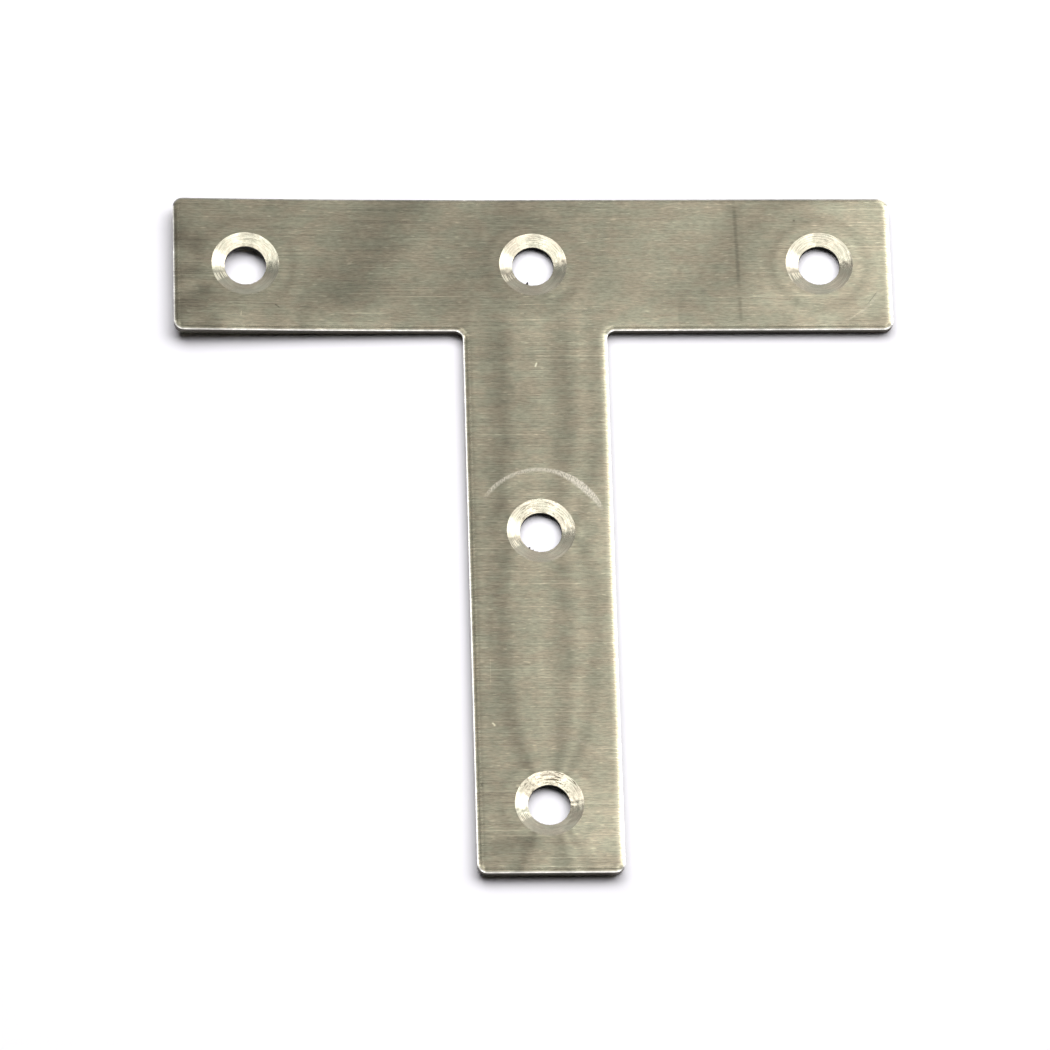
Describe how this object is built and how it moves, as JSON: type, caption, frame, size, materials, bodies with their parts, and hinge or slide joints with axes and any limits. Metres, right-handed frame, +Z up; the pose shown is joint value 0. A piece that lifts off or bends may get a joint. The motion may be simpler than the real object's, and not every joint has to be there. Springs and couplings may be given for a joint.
{
  "type": "t plate bracket",
  "caption": "Flat T-shaped mending plate of brushed stainless sheet with rolled edges and countersunk screw holes, for joining a crosspiece and a post at right angles.",
  "frame": {"origin": "middle of the outline on the underside, which is the axis of the stem's middle hole", "axes": "+Z up out of the countersunk face, +X along the crossbar, +Y from the foot of the stem to the crossbar"},
  "size_m": [0.1, 0.1, 0.0015],
  "materials": {
    "brushed_stainless": "satin stainless, brushed along the crossbar, with bright turned countersinks"
  },
  "bodies": {
    "root": {"t_plate": "brushed_stainless"}
  },
  "joints": []
}
